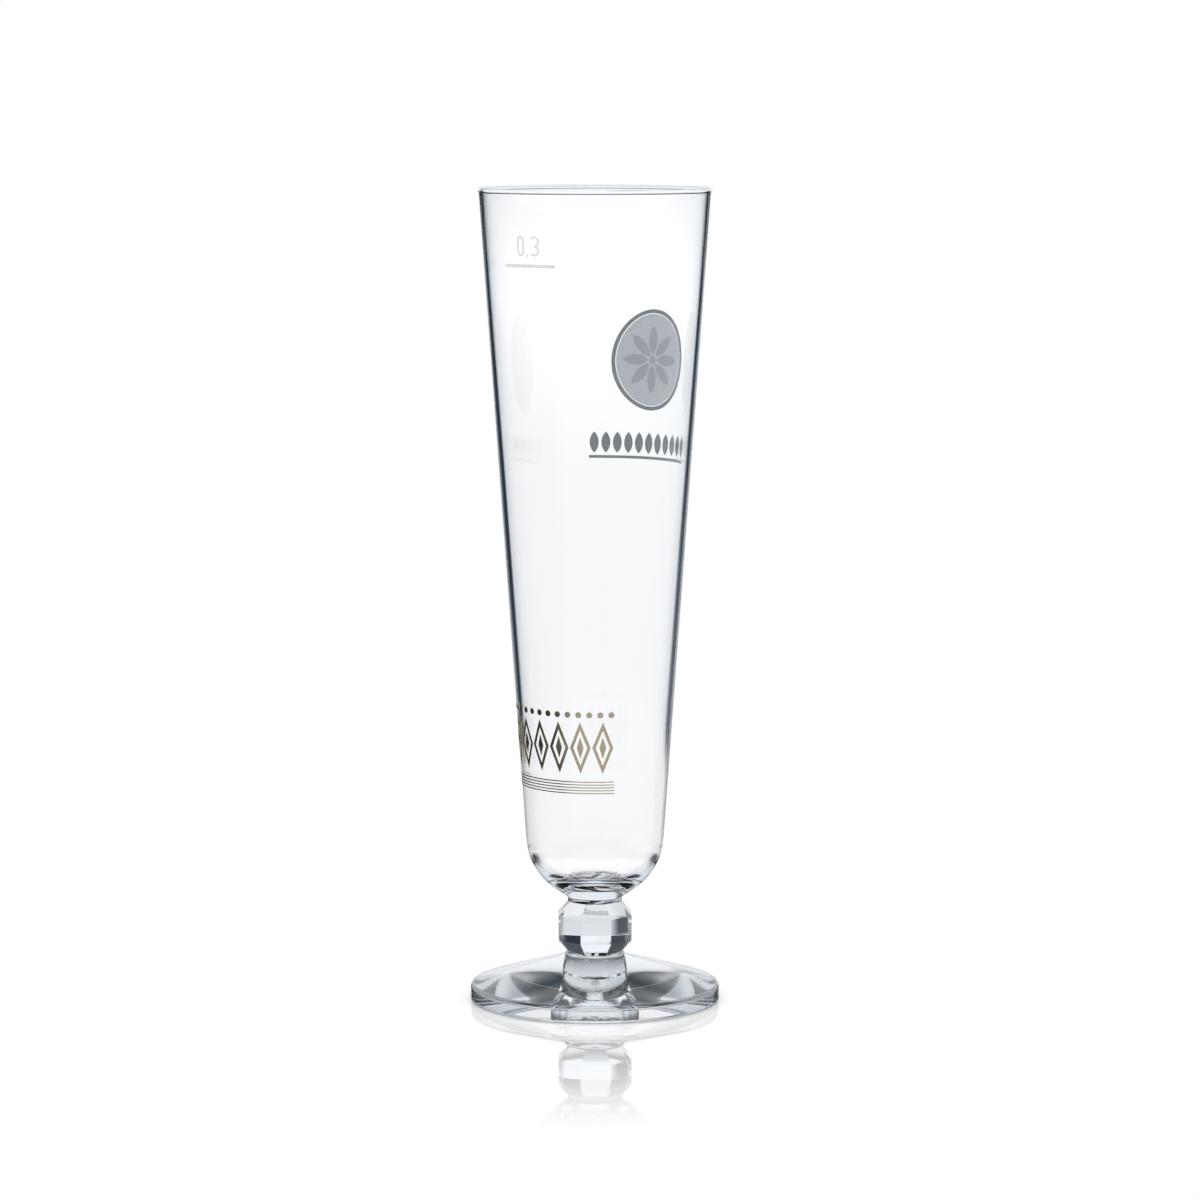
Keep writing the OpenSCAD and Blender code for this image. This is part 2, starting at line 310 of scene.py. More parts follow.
def noise(tree, scale, detail=2.0, stretch=(1, 1, 1)):
    """Noise over the object's own coordinates, so many cells to the metre."""
    place = add_node(tree, "TexCoord")
    shaped = add_node(tree, "Mapping")
    tree.links.new(place.outputs["Object"], shaped.inputs["Vector"])
    shaped.inputs["Scale"].default_value = stretch
    node = add_node(tree, "TexNoise")
    tree.links.new(shaped.outputs[0], node.inputs["Vector"])
    node.inputs["Scale"].default_value = scale
    node.inputs["Detail"].default_value = detail
    return node.outputs[0]


def bump(tree, shader, height, distance):
    """Relief with its height in metres."""
    node = add_node(tree, "Bump")
    node.inputs["Distance"].default_value = distance
    tree.links.new(height, node.inputs["Height"])
    tree.links.new(node.outputs[0], shader.inputs["Normal"])


def new_material(name):
    """A new material, with its tree and its Principled shader."""
    material = bpy.data.materials.new(name)
    material.use_nodes = True
    tree = material.node_tree
    return material, tree, tree.nodes["Principled BSDF"]


# Materials. Scales of noise are in cells to the metre, depths of relief in metres.

GLASS_TINT = (0.985, 0.992, 1.0, 1)
GLASS_IOR = 1.52
GOLD_BRIGHT = (0.80, 0.67, 0.46, 1)
GOLD_WORN = (0.68, 0.56, 0.38, 1)
FROST_THIN = (0.74, 0.77, 0.78, 1)
FROST_THICK = (0.86, 0.88, 0.89, 1)
FROST_ROUGHNESS = 0.75
PRINT_RELIEF = 0.00001
FROST_RELIEF = 0.00002

# Ramps over the noise of a material: start, end and, where given, the values there
GOLD_WEAR = (0.4, 0.65)
GOLD_ROUGHNESS = (0.3, 0.75, 0.2, 0.38)
ENAMEL_GRAIN = (0.4, 0.62)
ENAMEL_SPREAD = (0.3, 0.7)
FROST_ALPHA = (0.35, 0.65, 0.3, 0.6)

# How far the roughness of enamel goes below and above its mean
ENAMEL_SMOOTHER = 0.06
ENAMEL_ROUGHER = 0.08


def glass_material(name, wave, depth, stretch=(1, 1, 1)):
    """Clear soda-lime glass with the slight waves of a blown or pressed surface."""
    material, tree, shader = new_material(name)
    shader.inputs["Base Color"].default_value = GLASS_TINT
    shader.inputs["Transmission Weight"].default_value = 1
    shader.inputs["Roughness"].default_value = 0
    shader.inputs["IOR"].default_value = GLASS_IOR
    bump(tree, shader, noise(tree, wave, stretch=stretch), depth)
    return material


def seam_material():
    """Where two pieces of glass are fused, light passes straight through."""
    material = bpy.data.materials.new("fused_seam")
    material.use_nodes = True
    tree = material.node_tree
    tree.nodes.remove(tree.nodes["Principled BSDF"])
    clear = add_node(tree, "BsdfTransparent")
    tree.links.new(clear.outputs[0], tree.nodes["Material Output"].inputs["Surface"])
    return material


def gold_material():
    """Fired gold: satin, a little uneven, duller where it is worn."""
    material, tree, shader = new_material("gold_print")
    wear = noise(tree, scale=420, detail=5)
    shader.inputs["Metallic"].default_value = 1
    colour = mix_colour(tree, ramp(tree, wear, *GOLD_WEAR), GOLD_BRIGHT, GOLD_WORN)
    feed(tree, shader.inputs["Base Color"], colour)
    feed(tree, shader.inputs["Roughness"], ramp(tree, wear, *GOLD_ROUGHNESS))
    bump(tree, shader, noise(tree, scale=1600, detail=3), PRINT_RELIEF)
    return material


def enamel_material(name, light, dark, roughness):
    """Fired enamel with the fine grain of a screen print."""
    material, tree, shader = new_material(name)
    grain = noise(tree, scale=2600, detail=4)
    colour = mix_colour(tree, ramp(tree, grain, *ENAMEL_GRAIN), light, dark)
    feed(tree, shader.inputs["Base Color"], colour)
    uneven = ramp(
        tree, grain, *ENAMEL_SPREAD, low=roughness - ENAMEL_SMOOTHER, high=roughness + ENAMEL_ROUGHER)
    feed(tree, shader.inputs["Roughness"], uneven)
    bump(tree, shader, grain, PRINT_RELIEF)
    return material


def frosted_material():
    """Thin frosted print, which lets most of the light through."""
    material, tree, shader = new_material("frosted_print")
    grain = noise(tree, scale=3200, detail=4)
    feed(tree, shader.inputs["Base Color"], mix_colour(tree, grain, FROST_THIN, FROST_THICK))
    shader.inputs["Roughness"].default_value = FROST_ROUGHNESS
    feed(tree, shader.inputs["Alpha"], ramp(tree, grain, *FROST_ALPHA))
    bump(tree, shader, grain, FROST_RELIEF)
    return material


GLASS = glass_material("clear_glass", wave=60, depth=0.0000006, stretch=(1, 1, 0.3))
PRESSED = glass_material("pressed_glass", wave=120, depth=0.000001)
FUSED = glass_material("fused_glass", wave=700, depth=0.00002)
SEAM = seam_material()
GOLD = gold_material()
PALE = enamel_material(
    "pale_enamel", light=(0.52, 0.54, 0.575, 1), dark=(0.46, 0.48, 0.515, 1), roughness=0.4)
GREY = enamel_material(
    "grey_enamel", light=(0.33, 0.36, 0.39, 1), dark=(0.28, 0.31, 0.34, 1), roughness=0.42)
DARK = enamel_material(
    "dark_enamel", light=(0.125, 0.145, 0.15, 1), dark=(0.09, 0.11, 0.105, 1), roughness=0.36)
FROSTED = frosted_material()


# Glass pieces

def make_bowl():
    """Cone of the bowl with its base curve, inner hollow and melted lip."""
    curve_centre = (
        WALL_FOOT_R - BASE_ROUND_R * math.cos(WALL_LEAN),
        WALL_FOOT_Z + BASE_ROUND_R * math.sin(WALL_LEAN),
    )
    floor_z = BOWL_Z + BASE_T
    inner_z = floor_z + INNER_ROUND_R
    inner_centre = (inner_r(inner_z) - INNER_ROUND_R / math.cos(INNER_LEAN), inner_z)
    lip_centre = (outer_r(LIP_Z) + LIP_PROUD - LIP_BEAD_R, LIP_Z)
    section = [(0, BOWL_Z), (NECK_R, BOWL_Z)]
    section += arc(curve_centre, BASE_ROUND_R, -UNDER_LEAN, -WALL_LEAN, steps=40)
    section += [(outer_r(z), z) for z in WALL_HEIGHTS]
    section += arc(lip_centre, LIP_BEAD_R, *LIP_ARC, steps=28)
    section += [(inner_r(z), z) for z in reversed(WALL_HEIGHTS)]
    section += arc(inner_centre, INNER_ROUND_R, -INNER_LEAN, -math.pi / 2, steps=32)
    section += [(0, floor_z)]
    bm = bmesh.new()
    lathe(bm, section, LARGE_STEPS, seams=(0,))
    return joined(mesh_object("bowl_glass", bm, [GLASS, SEAM]), "clear_glass", "bowl")


def octagon(flat_r, z):
    """Corners of the knop's outline at a height, where its flats stand flat_r from the axis."""
    r = flat_r / math.cos(math.pi / KNOP_SIDES)
    return [
        Vector((math.sin(a), -math.cos(a), 0)) * r * MM + Vector((0, 0, z * MM))
        for a in (KNOP_TURN + TURN * i / KNOP_SIDES for i in range(KNOP_SIDES))
    ]


def make_knop():
    """Knop with eight flats, each with a bevel over and under it; its two ends are seams."""
    flat_r = KNOP_R * math.cos(math.pi / KNOP_SIDES)
    bevel_h = (KNOP_H - KNOP_FLAT_H) / 2
    levels = [
        (KNOP_END_R, KNOP_Z), (flat_r, KNOP_Z + bevel_h),
        (flat_r, KNOP_Z + KNOP_H - bevel_h), (KNOP_END_R, KNOP_Z + KNOP_H),
    ]
    bm = bmesh.new()
    rings = [[bm.verts.new(p) for p in octagon(*level)] for level in levels]
    for low, high in zip(rings, rings[1:]):
        for i in range(KNOP_SIDES):
            j = (i + 1) % KNOP_SIDES
            bm.faces.new([low[i], low[j], high[j], high[i]])
    ends = [bm.faces.new(rings[0]), bm.faces.new(rings[-1])]
    side_edges = [e for e in bm.edges if not set(e.link_faces) & set(ends)]
    bmesh.ops.bevel(bm, geom=side_edges, offset=KNOP_EDGE * MM, segments=3, affect="EDGES", profile=0.5)
    for face in bm.faces:
        face.material_index = 1 if len(face.verts) >= KNOP_SIDES else 0
    piece = mesh_object("knop_glass", bm, [PRESSED, SEAM], KNOP_SHARP)
    return joined(piece, "clear_glass", "stem_knop")


def close_round_knop(bm, z, r):
    """Closes a round end under or over the knop: the octagon is seam, and the rest is glass."""
    def on(vertex):
        return abs(vertex.co.z - z * MM) < NEAR and abs(vertex.co.xy.length - r * MM) < NEAR
    rim = [e for e in bm.edges if on(e.verts[0]) and on(e.verts[1])]
    seam = bm.faces.new([bm.verts.new(p) for p in octagon(KNOP_END_R, z)])
    seam.material_index = 1
    bmesh.ops.bridge_loops(bm, edges=list(seam.edges) + rim)


def make_neck():
    """Short ring between the knop and the bowl."""
    bm = bmesh.new()
    lathe(bm, [(NECK_R, NECK_Z), (NECK_R, BOWL_Z), (0, BOWL_Z)], SMALL_STEPS, seams=(1,))
    close_round_knop(bm, NECK_Z, NECK_R)
    return joined(mesh_object("neck_glass", bm, [FUSED, SEAM]), "clear_glass", "neck_ring")


def make_collar():
    """Low round collar between the foot and the knop."""
    half = COLLAR_H / 2
    flat_r = COLLAR_R - half
    section = [(0, FOOT_H)]
    section += arc((flat_r, FOOT_H + half), half, -math.pi / 2, math.pi / 2, steps=10)
    bm = bmesh.new()
    lathe(bm, section, SMALL_STEPS, seams=(0,))
    close_round_knop(bm, KNOP_Z, flat_r)
    return joined(mesh_object("collar_glass", bm, [FUSED, SEAM]), "clear_glass", "foot_collar")


def make_peg():
    """Round end of the stem, set in the foot."""
    section = [(0, SOCKET_Z), (PEG_R, SOCKET_Z), (PEG_R, FOOT_H), (0, FOOT_H)]
    bm = bmesh.new()
    lathe(bm, section, SMALL_STEPS, seams=(0, 2))
    return joined(mesh_object("peg_glass", bm, [FUSED, SEAM]), "clear_glass", "stem_peg")


def make_foot():
    """Foot with its cone, rounded rim, standing ring, shallow hollow and socket."""
    standing_r = FOOT_R - FOOT_LOW_ROUND
    rim = (FOOT_R - FOOT_TOP_ROUND, FOOT_RIM_H - FOOT_TOP_ROUND)
    run = (COLLAR_R - rim[0], FOOT_H - rim[1])
    rim_end = math.atan2(run[1], run[0]) - math.acos(FOOT_TOP_ROUND / math.hypot(*run))
    section = [(0, HOLLOW_H), (standing_r - STANDING_W, 0)]
    section += arc((standing_r, FOOT_LOW_ROUND), FOOT_LOW_ROUND, -math.pi / 2, 0, steps=10)
    section += arc(rim, FOOT_TOP_ROUND, 0, rim_end, steps=12)
    section += [(COLLAR_R, FOOT_H), (SOCKET_R, FOOT_H), (SOCKET_R, SOCKET_Z)]
    section += [(PEG_R, SOCKET_Z), (0, SOCKET_Z)]
    bm = bmesh.new()
    lathe(bm, section, LARGE_STEPS, seams=(len(section) - 2,))
    return joined(mesh_object("foot_glass", bm, [PRESSED, SEAM]), "clear_glass", "foot")


# Prints on the wall

def oval(width, height, steps=72):
    angles = [TURN * i / steps for i in range(steps)]
    return [(width / 2 * math.cos(a), height / 2 * math.sin(a)) for a in angles]


def lozenge(width, height):
    return [(width / 2, 0), (0, height / 2), (-width / 2, 0), (0, -height / 2)]


def box(left, right, low, high):
    return [(left, low), (right, low), (right, high), (left, high)]


def leaf(width, height, steps=10):
    """Pointed leaf between two arcs, upright."""
    r = (width ** 2 + height ** 2) / (4 * width)
    half = math.asin(height / 2 / r)
    right = arc((width / 2 - r, 0), r, -half, half, steps)
    return right + [(-x, z) for x, z in reversed(right[1:-1])]


def turned(points, angle, shift=(0, 0)):
    """A flat drawing turned about its middle, then shifted."""
    c, s = math.cos(angle), math.sin(angle)
    return [(x * c - z * s + shift[0], x * s + z * c + shift[1]) for x, z in points]


def print_flat(bm, loops, place, low=PRINT_LOW, high=PRINT_HIGH):
    """Fills a flat drawing, cuts it into narrow strips, and lays it on the wall as a thin skin."""
    part = bmesh.new()
    edges = []
    for loop in loops:
        verts = [part.verts.new((x, 0, z)) for x, z in loop]
        edges += [part.edges.new((a, b)) for a, b in zip(verts, verts[1:] + verts[:1])]
    bmesh.ops.triangle_fill(part, edges=edges, use_beauty=True, normal=(0, -1, 0))
    left = min(v.co.x for v in part.verts)
    right = max(v.co.x for v in part.verts)
    for i in range(math.ceil(left / FACET), math.floor(right / FACET) + 1):
        whole = part.verts[:] + part.edges[:] + part.faces[:]
        bmesh.ops.bisect_plane(
            part, geom=whole, dist=CUT_NEAR, plane_co=(i * FACET, 0, 0), plane_no=(1, 0, 0))
    lifted = bmesh.ops.extrude_face_region(part, geom=part.faces[:])["geom"]
    top = {g for g in lifted if isinstance(g, bmesh.types.BMVert)}
    copies = {}
    for v in part.verts:
        copies[v] = bm.verts.new(place(v.co.x, v.co.z, high if v in top else low))
    for face in part.faces:
        bm.faces.new([copies[v] for v in face.verts])
    part.free()


def stamp(turn, z0, x0=0.0):
    """A flat drawing pressed straight onto the wall at a turn round the glass."""
    def place(x, z, lift):
        r = outer_r(z0 + z)
        angle = math.asin((x0 + x) / r) + turn
        return Vector(((r + lift) * math.sin(angle), -(r + lift) * math.cos(angle), z0 + z)) * MM
    return place


def wrap(turn, z0):
    """A strip laid along the wall at a turn round the glass."""
    def place(x, z, lift):
        angle = x / outer_r(z0) + turn
        r = outer_r(z0 + z) + lift
        return Vector((r * math.sin(angle), -r * math.cos(angle), z0 + z)) * MM
    return place


def print_object(name, drawings, material, slot, node):
    """One printed piece from its drawings: loops, place and, where given, the two lifts."""
    bm = bmesh.new()
    for drawing in drawings:
        print_flat(bm, *drawing)
    return joined(mesh_object(name, bm, [material], PRINT_SHARP), slot, node)


def row_turns(turn, count, length, z):
    """Turns of a row of equal drawings whose middles span a length along the wall."""
    step = length / outer_r(z) / (count - 1)
    return [turn + step * (i - (count - 1) / 2) for i in range(count)]


def make_gold_band():
    """Stripes, lozenges with their cores, and beads, from below upwards."""
    stripes = [
        ([box(-GOLD_L / 2, GOLD_L / 2, 0, STRIPE_H)], wrap(FRONT, GOLD_Z + i * STRIPE_PITCH))
        for i in range(STRIPE_N)
    ]
    print_object("gold_stripe_print", stripes, GOLD, "gold_print", "gold_stripes")

    width = GOLD_L / LOZENGE_N - LOZENGE_CLEAR
    inset = LOZENGE_LINE * math.hypot(width, LOZENGE_H) / LOZENGE_H
    inner = (width - 2 * inset, LOZENGE_H - 2 * inset * LOZENGE_H / width)
    middle = LOZENGE_Z + LOZENGE_H / 2
    span = GOLD_L * (LOZENGE_N - 1) / LOZENGE_N
    turns = row_turns(FRONT, LOZENGE_N, span, LOZENGE_Z)
    rings = [([lozenge(width, LOZENGE_H), lozenge(*inner)], stamp(t, middle)) for t in turns]
    cores = [([lozenge(*LOZENGE_CORE)], stamp(t, middle)) for t in turns]
    print_object("gold_lozenge_print", rings, GOLD, "gold_print", "gold_lozenges")
    print_object("gold_core_print", cores, GOLD, "gold_print", "gold_lozenge_cores")

    turns = row_turns(FRONT, BEAD_N, GOLD_L - 2 * BEAD_R, LOZENGE_Z)
    beads = [([oval(2 * BEAD_R, 2 * BEAD_R, steps=24)], stamp(t, BEAD_Z)) for t in turns]
    print_object("gold_bead_print", beads, GOLD, "gold_print", "gold_beads")


def make_medallion():
    """Oval field in a border, with a rosette of leaf-shaped petals round a bead."""
    width, height = MEDALLION_SIZE
    inset = 2 * (BORDER_W + BORDER_GAP)
    flat = stamp(BACK, MEDALLION_Z)
    border = [([oval(width, height), oval(width - 2 * BORDER_W, height - 2 * BORDER_W)], flat)]
    field = [([oval(width - inset, height - inset)], flat, FIELD_LOW, PRINT_HIGH)]
    print_object("medallion_border_print", border, DARK, "dark_enamel", "medallion_border")
    print_object("medallion_field_print", field, PALE, "pale_enamel", "medallion_field")

    petal_l = (width - inset) / 2 - EYE_R - PETAL_MARGIN
    petal = turned(leaf(PETAL_W, petal_l), -math.pi / 2, shift=(EYE_R + petal_l / 2, 0))
    shapes = [oval(2 * EYE_BEAD_R, 2 * EYE_BEAD_R, steps=32)]
    shapes += [turned(petal, TURN * i / PETAL_N) for i in range(PETAL_N)]
    rosette = [([shape], flat, PRINT_LOW, ROSETTE_HIGH) for shape in shapes]
    print_object("rosette_print", rosette, GREY, "grey_enamel", "medallion_rosette")


def make_frieze():
    """Row of plain leaves over a line."""
    turns = row_turns(BACK, LEAF_N, FRIEZE_L - LEAF_SIZE[0], FRIEZE_Z)
    leaves = [([leaf(*LEAF_SIZE)], stamp(t, FRIEZE_Z)) for t in turns]
    print_object("frieze_leaf_print", leaves, DARK, "dark_enamel", "frieze_leaves")
    line = [([box(-FRIEZE_L / 2, FRIEZE_L / 2, 0, FRIEZE_LINE_H)], wrap(BACK, FRIEZE_LINE_Z))]
    print_object("frieze_line_print", line, DARK, "dark_enamel", "frieze_line")


def three(height, line):
    """Numeral 3 of two open bows, one over the other, about its own middle."""
    r = (height + line) / 4
    low, high = -(r - line / 2), r - line / 2
    end, outer_waist, inner_waist = math.radians(145), math.radians(65), math.radians(82)
    outline = arc((0, high), r, end, -outer_waist, steps=16)
    outline += arc((0, low), r, outer_waist, -end, steps=16)
    outline += arc((0, low), r - line, -end, inner_waist, steps=16)
    outline += arc((0, high), r - line, -inner_waist, end, steps=16)
    return outline


def oblong(width, height):
    """Outline of a bar with round ends, upright."""
    r = width / 2
    top = arc((0, height / 2 - r), r, 0, math.pi, steps=14)
    return top + [(-x, -z) for x, z in top]


def make_measure():
    """Filling line with the capacity in numerals over it."""
    line = [([box(-FILL_L / 2, FILL_L / 2, -FILL_LINE_H / 2, FILL_LINE_H / 2)], wrap(FRONT, FILL_Z))]
    print_object("filling_line_print", line, FROSTED, "frosted_print", "filling_line")
    middle = NUMERAL_Z + NUMERAL_H / 2
    w = NUMERAL_LINE
    nought = [oblong(NUMERAL_W, NUMERAL_H), oblong(NUMERAL_W - 2 * w, NUMERAL_H - 2 * w)]
    comma = [[(-w / 2, w), (w / 2, w), (w / 2, 0), (-w, -w)]]
    numerals = [
        (nought, stamp(FRONT, middle, -NUMERAL_W)),
        (comma, stamp(FRONT, NUMERAL_Z)),
        ([three(NUMERAL_H, w)], stamp(FRONT, middle, NUMERAL_W)),
    ]
    print_object("numeral_print", numerals, FROSTED, "frosted_print", "measure_numerals")


make_bowl()
make_neck()
make_knop()
make_collar()
make_peg()
make_foot()
make_gold_band()
make_medallion()
make_frieze()
make_measure()


# Stage: floor, world and camera. Rays are told apart by how often glass has bent and mirrored them.

# Counts of mirror images, lowest and highest; ANY stands for no limit
ANY = 99
FEW = (3, 4)
MANY = (5, ANY)

# Ramps over direction, in degrees: start, end, and the values there. The azimuth counts from straight
# behind the glass in the photograph and grows to the right, and the elevation counts from the horizon.
BACK_START = (-18, -10, 0.0, 1.0)
BACK_END = (12, 20, 1.0, 0.0)
RING_RIGHT = (32, 40, 0.0, 1.0)
RING_LEFT = (-40, -32, 1.0, 0.0)
RING_LEFT_OUTSIDE = (-152, -124, 1.0, 0.0)
PANEL_TOP = (12, 28, 1.0, 0.0)
CEILING = (34, 40, 0.0, 0.9)
OUTSIDE_TOP = (26, 36, 1.0, 0.1)

# Degrees by which the back panel reaches further for rays mirrored once inside a piece
SOLID_START_MORE = 10
SOLID_END_MORE = 18
SOLID_TOP_MORE = 12

# Brightness of the panels
BACK_LIGHT = 1.1
RING_LIGHT = 0.85

# What is left of the ring for rays of few mirror images, and how even the room is for rays of many
FEW_SHARE = 0.4
EVEN_SHARE = 0.65

# Ramps over the distance from the middle of the foot, in metres: start, end, and the values there
MIRROR_NEAR = (0.045, 0.062, 0.4, 1.0)
MIRROR_FAR = (0.06, 0.165, 0.6, 0.0)
UNDER_MIRROR = (0.035, 0.037, 0.12, 0.8)
UNDER_LIGHT = (0.0335, 0.035, 0.15, 0.9)
# Painted shade on the table near the foot, for rays that glass mirrored few or many times
FEW_MIRRORED_PAINTED_SHADE = (0.04, 0.05, 0.85, 0.0)
MANY_MIRRORED_PAINTED_SHADE = (0.045, 0.055, 0.3, 0.9)
LIT_RING_START = (0.13, 0.18, 0.0, 1.0)
LIT_RING_END = (0.28, 0.38, 1.0, 0.0)
# Painted light: the far table is lighter for rays that don't come from the camera
FAR_PAINTED_LIGHT = (1.3, 3.0, 0.0, 0.15)

# Ramps over the slant of a ray on the table, from 0, straight down, to 1, level
CAMERA_SLANT = (0.45, 0.7, 0.0, 1.0)
BENT_SLANT = (0.4, 0.65, 0.0, 1.0)

# Contact shadow: its reach in metres, and its ramp over the openness of the place
CONTACT_REACH = 0.006
CONTACT_SAMPLES = 8
CONTACT = (0.0, 0.9, 0.25, 1.0)

# Brightness of the table: the least for rays that don't come from the camera, and its light on surfaces
TABLE_LEAST = 0.85
TABLE_LIGHT = 0.8

# Half the table's width, and how far it lies under the glass, in metres
TABLE_HALF = 3.0
TABLE_DROP = 0.00002

# Most bounces of a ray, by kind
BOUNCES = 24
GLOSSY_BOUNCES = 16


def grey(level):
    return (level, level, level, 1)


# Colours of the room. The white seen through the bowl is above 1, because four faces of glass dim it.
WHITE = grey(1)
EVEN_LIGHT = (0.65, 0.71, 0.78, 1)
DARK_ROOM = (0.03, 0.045, 0.06, 1)
PANEL_WHITE = (0.91, 0.955, 1, 1)
PLAIN_LIGHT = grey(0.9)
BOWL_WHITE = grey(1.15)


def ray_is(tree, path, kind, low, high):
    """1 for rays whose count of one kind of bounce lies between low and high, both included."""
    depth = path.outputs[kind + " Depth"]
    over = calc(tree, "GREATER_THAN", depth, low - 0.5)
    under = calc(tree, "LESS_THAN", depth, high + 0.5)
    return product(tree, over, under)


def through_bowl(tree, path):
    """1 for rays that crossed both walls of the empty bowl, with one mirror image at most."""
    return product(tree, ray_is(tree, path, "Transmission", 4, 4), ray_is(tree, path, "Glossy", 0, 1))


def often_mirrored(tree, path, low, high):
    """1 for rays that have been in the glass and were mirrored low to high times."""
    bent = ray_is(tree, path, "Transmission", 1, ANY)
    return product(tree, bent, ray_is(tree, path, "Glossy", low, high))


def direction(tree):
    """Azimuth and elevation of a direction in the room, in degrees."""
    place = add_node(tree, "TexCoord").outputs["Generated"]
    split = add_node(tree, "SeparateXYZ")
    tree.links.new(place, split.inputs[0])
    sine, cosine = math.sin(CAMERA_AZIMUTH), math.cos(CAMERA_AZIMUTH)
    parts = []
    for axis in ((-sine, cosine, 0), (cosine, sine, 0)):
        dot = add_node(tree, "VectorMath", operation="DOT_PRODUCT")
        tree.links.new(place, dot.inputs[0])
        dot.inputs[1].default_value = axis
        parts.append(dot.outputs["Value"])
    azimuth = calc(tree, "DEGREES", calc(tree, "ARCTAN2", parts[1], parts[0]))
    elevation = calc(tree, "DEGREES", calc(tree, "ARCSINE", split.outputs[2]))
    return azimuth, elevation


def panel_light(tree, path, azimuth, elevation):
    """Light by direction: a panel behind the glass, a low ring round the sides and front, a ceiling."""
    solid = product(tree, ray_is(tree, path, "Transmission", 2, 2), ray_is(tree, path, "Glossy", 1, 1))
    start = calc(tree, "ADD", azimuth, product(tree, solid, SOLID_START_MORE))
    end = calc(tree, "SUBTRACT", azimuth, product(tree, solid, SOLID_END_MORE))
    back = product(tree, ramp(tree, start, *BACK_START), ramp(tree, end, *BACK_END), BACK_LIGHT)

    inside = ray_is(tree, path, "Transmission", 1, ANY)
    left_lit = calc(tree, "MAXIMUM", inside, ramp(tree, azimuth, *RING_LEFT_OUTSIDE))
    left = product(tree, ramp(tree, azimuth, *RING_LEFT), left_lit)
    kept = ramp(tree, often_mirrored(tree, path, *FEW), 0, 1, low=1.0, high=FEW_SHARE)
    ring = calc(tree, "ADD", left, ramp(tree, azimuth, *RING_RIGHT))
    ring = product(tree, ring, RING_LIGHT, kept)

    height = calc(tree, "SUBTRACT", elevation, product(tree, solid, SOLID_TOP_MORE))
    total = product(tree, calc(tree, "MAXIMUM", back, ring), ramp(tree, height, *PANEL_TOP))
    return calc(tree, "MAXIMUM", total, ramp(tree, elevation, *CEILING))


def make_world():
    """White for the camera; panels in a dim room for light that glass has bent or mirrored."""
    world = bpy.data.worlds.new("studio")
    bpy.context.scene.world = world
    world.use_nodes = True
    tree = world.node_tree
    path = add_node(tree, "LightPath")
    camera = path.outputs["Is Camera Ray"]
    azimuth, elevation = direction(tree)
    room = mix_colour(tree, panel_light(tree, path, azimuth, elevation), DARK_ROOM, PANEL_WHITE)
    even = product(tree, often_mirrored(tree, path, *MANY), EVEN_SHARE)
    room = mix_colour(tree, even, room, EVEN_LIGHT)

    outside = product(tree, ray_is(tree, path, "Transmission", 0, 0), ray_is(tree, path, "Glossy", 0, 1))
    sharp = calc(tree, "MAXIMUM", camera, path.outputs["Is Singular Ray"])
    outside = product(tree, outside, sharp, ramp(tree, elevation, *OUTSIDE_TOP))
    seen = mix_colour(tree, calc(tree, "MAXIMUM", outside, camera), room, WHITE)
    seen = mix_colour(tree, through_bowl(tree, path), seen, BOWL_WHITE)
    colour = mix_colour(tree, ray_is(tree, path, "Diffuse", 1, ANY), seen, PLAIN_LIGHT)
    tree.links.new(colour, tree.nodes["Background"].inputs["Color"])


def emission(tree, level):
    node = add_node(tree, "Emission")
    feed(tree, node.inputs["Strength"], level)
    node.inputs["Color"].default_value = WHITE
    return node.outputs[0]


def mirror(tree, colour):
    node = add_node(tree, "BsdfGlossy")
    node.inputs["Roughness"].default_value = 0
    feed(tree, node.inputs["Color"], colour)
    return node.outputs[0]


def plain_table(tree, path, distance, facing):
    """The table for the camera: white, with a contact shadow and a mirror image that fades away, and
    painted light on the far table for rays that don't come from the camera.
    """
    contact = add_node(tree, "AmbientOcclusion", samples=CONTACT_SAMPLES)
    contact.inputs["Distance"].default_value = CONTACT_REACH
    lit = ramp(tree, contact.outputs["AO"], *CONTACT)
    other_ray = calc(tree, "SUBTRACT", 1.0, path.outputs["Is Camera Ray"])
    lit = calc(tree, "MAXIMUM", lit, product(tree, other_ray, TABLE_LEAST))
    # Painted light on the far table for rays that don't come from the camera
    lit = calc(tree, "ADD", lit, product(tree, other_ray, ramp(tree, distance, *FAR_PAINTED_LIGHT)))
    share = product(tree, ramp(tree, distance, *MIRROR_NEAR), ramp(tree, distance, *MIRROR_FAR),
                    ramp(tree, facing, *CAMERA_SLANT))
    return mix_shader(tree, share, emission(tree, lit), mirror(tree, WHITE))


def under_foot(tree, distance, straight, dim):
    """Dim under the foot, but as light as outside it for straight rays, which no glass has mirrored."""
    return calc(tree, "MAXIMUM", product(tree, straight, dim[-1]), ramp(tree, distance, *dim))


def bent_table(tree, path, distance, facing):
    """The table for rays that glass has bent or mirrored: white from above, a mirror at a slant, with
    painted shade under and near the foot.
    """
    lit_ring = product(tree, ramp(tree, distance, *LIT_RING_START), ramp(tree, distance, *LIT_RING_END),
                       ray_is(tree, path, "Transmission", 1, ANY))
    slant = product(tree, ramp(tree, facing, *BENT_SLANT), calc(tree, "SUBTRACT", 1.0, lit_ring))
    straight = ray_is(tree, path, "Glossy", 0, 0)
    # Painted shade near the foot for rays that glass mirrored few or many times
    few = product(tree, often_mirrored(tree, path, *FEW), ramp(tree, distance, *FEW_MIRRORED_PAINTED_SHADE))
    many = product(tree, often_mirrored(tree, path, *MANY), ramp(tree, distance, *MANY_MIRRORED_PAINTED_SHADE))
    kept = calc(tree, "SUBTRACT", 1.0, calc(tree, "ADD", few, many))
    light = product(tree, under_foot(tree, distance, straight, UNDER_LIGHT), kept)
    image = product(tree, under_foot(tree, distance, straight, UNDER_MIRROR), kept)
    return mix_shader(tree, slant, emission(tree, light), mirror(tree, image))


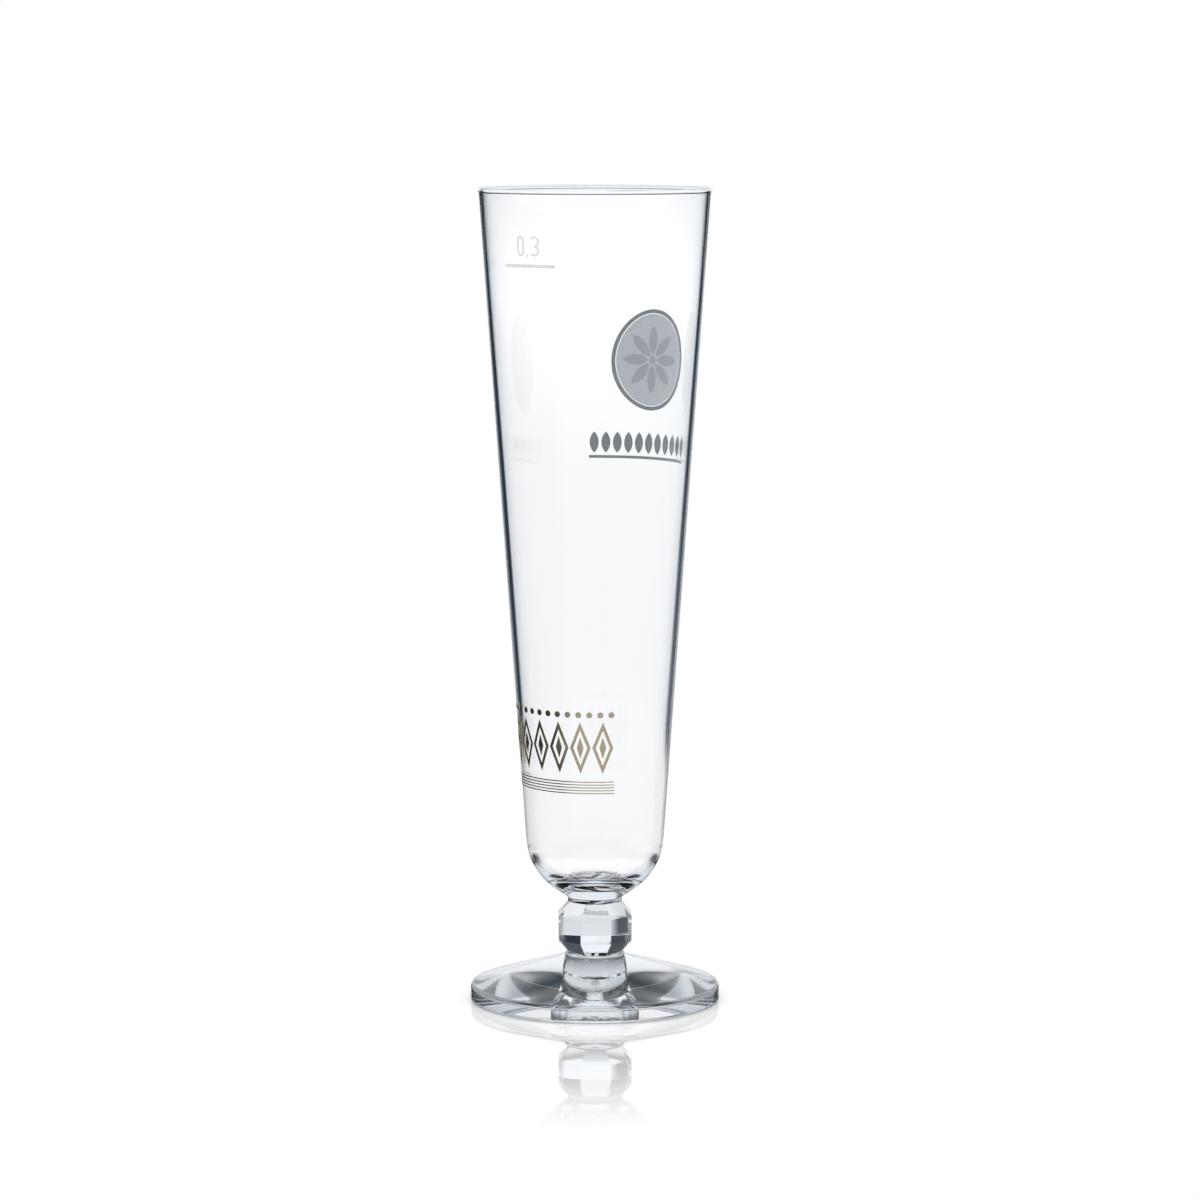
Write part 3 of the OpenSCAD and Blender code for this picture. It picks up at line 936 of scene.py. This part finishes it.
def floor_material():
    """White gloss table: plain white to the camera, and plain light for other surfaces."""
    material = bpy.data.materials.new("white_table")
    material.use_nodes = True
    tree = material.node_tree
    tree.nodes.clear()
    path = add_node(tree, "LightPath")
    place = add_node(tree, "NewGeometry")
    length = add_node(tree, "VectorMath", operation="LENGTH")
    tree.links.new(place.outputs["Position"], length.inputs[0])
    distance = length.outputs["Value"]
    facing = add_node(tree, "LayerWeight").outputs["Facing"]
    direct = calc(tree, "MAXIMUM", path.outputs["Is Camera Ray"], through_bowl(tree, path))
    looks = mix_shader(tree, direct, bent_table(tree, path, distance, facing),
                       plain_table(tree, path, distance, facing))
    surface = mix_shader(tree, ray_is(tree, path, "Diffuse", 1, ANY), looks, emission(tree, TABLE_LIGHT))
    out = add_node(tree, "OutputMaterial")
    tree.links.new(surface, out.inputs["Surface"])
    return material


def make_floor():
    """Flat white table under the glass."""
    bm = bmesh.new()
    bmesh.ops.create_grid(bm, x_segments=1, y_segments=1, size=TABLE_HALF)
    mesh = bpy.data.meshes.new("floor")
    bm.to_mesh(mesh)
    bm.free()
    mesh.materials.append(floor_material())
    floor = new_object("floor", mesh)
    floor.location.z = -TABLE_DROP


def make_camera():
    data = bpy.data.cameras.new("camera")
    data.lens = CAMERA_LENS
    data.sensor_width = CAMERA_SENSOR
    data.shift_x = CAMERA_SHIFT
    data.clip_end = CAMERA_REACH
    camera = new_object("camera", data)
    camera.location = (
        CAMERA_DISTANCE * math.sin(CAMERA_AZIMUTH),
        -CAMERA_DISTANCE * math.cos(CAMERA_AZIMUTH),
        CAMERA_HEIGHT,
    )
    camera.rotation_euler = (math.pi / 2 - CAMERA_PITCH, 0, CAMERA_AZIMUTH)
    bpy.context.scene.camera = camera


make_floor()
make_world()
make_camera()
scene = bpy.context.scene
scene.view_settings.view_transform = "Standard"
scene.cycles.max_bounces = BOUNCES
scene.cycles.transmission_bounces = BOUNCES
scene.cycles.transparent_max_bounces = BOUNCES
scene.cycles.glossy_bounces = GLOSSY_BOUNCES
scene.cycles.blur_glossy = 0
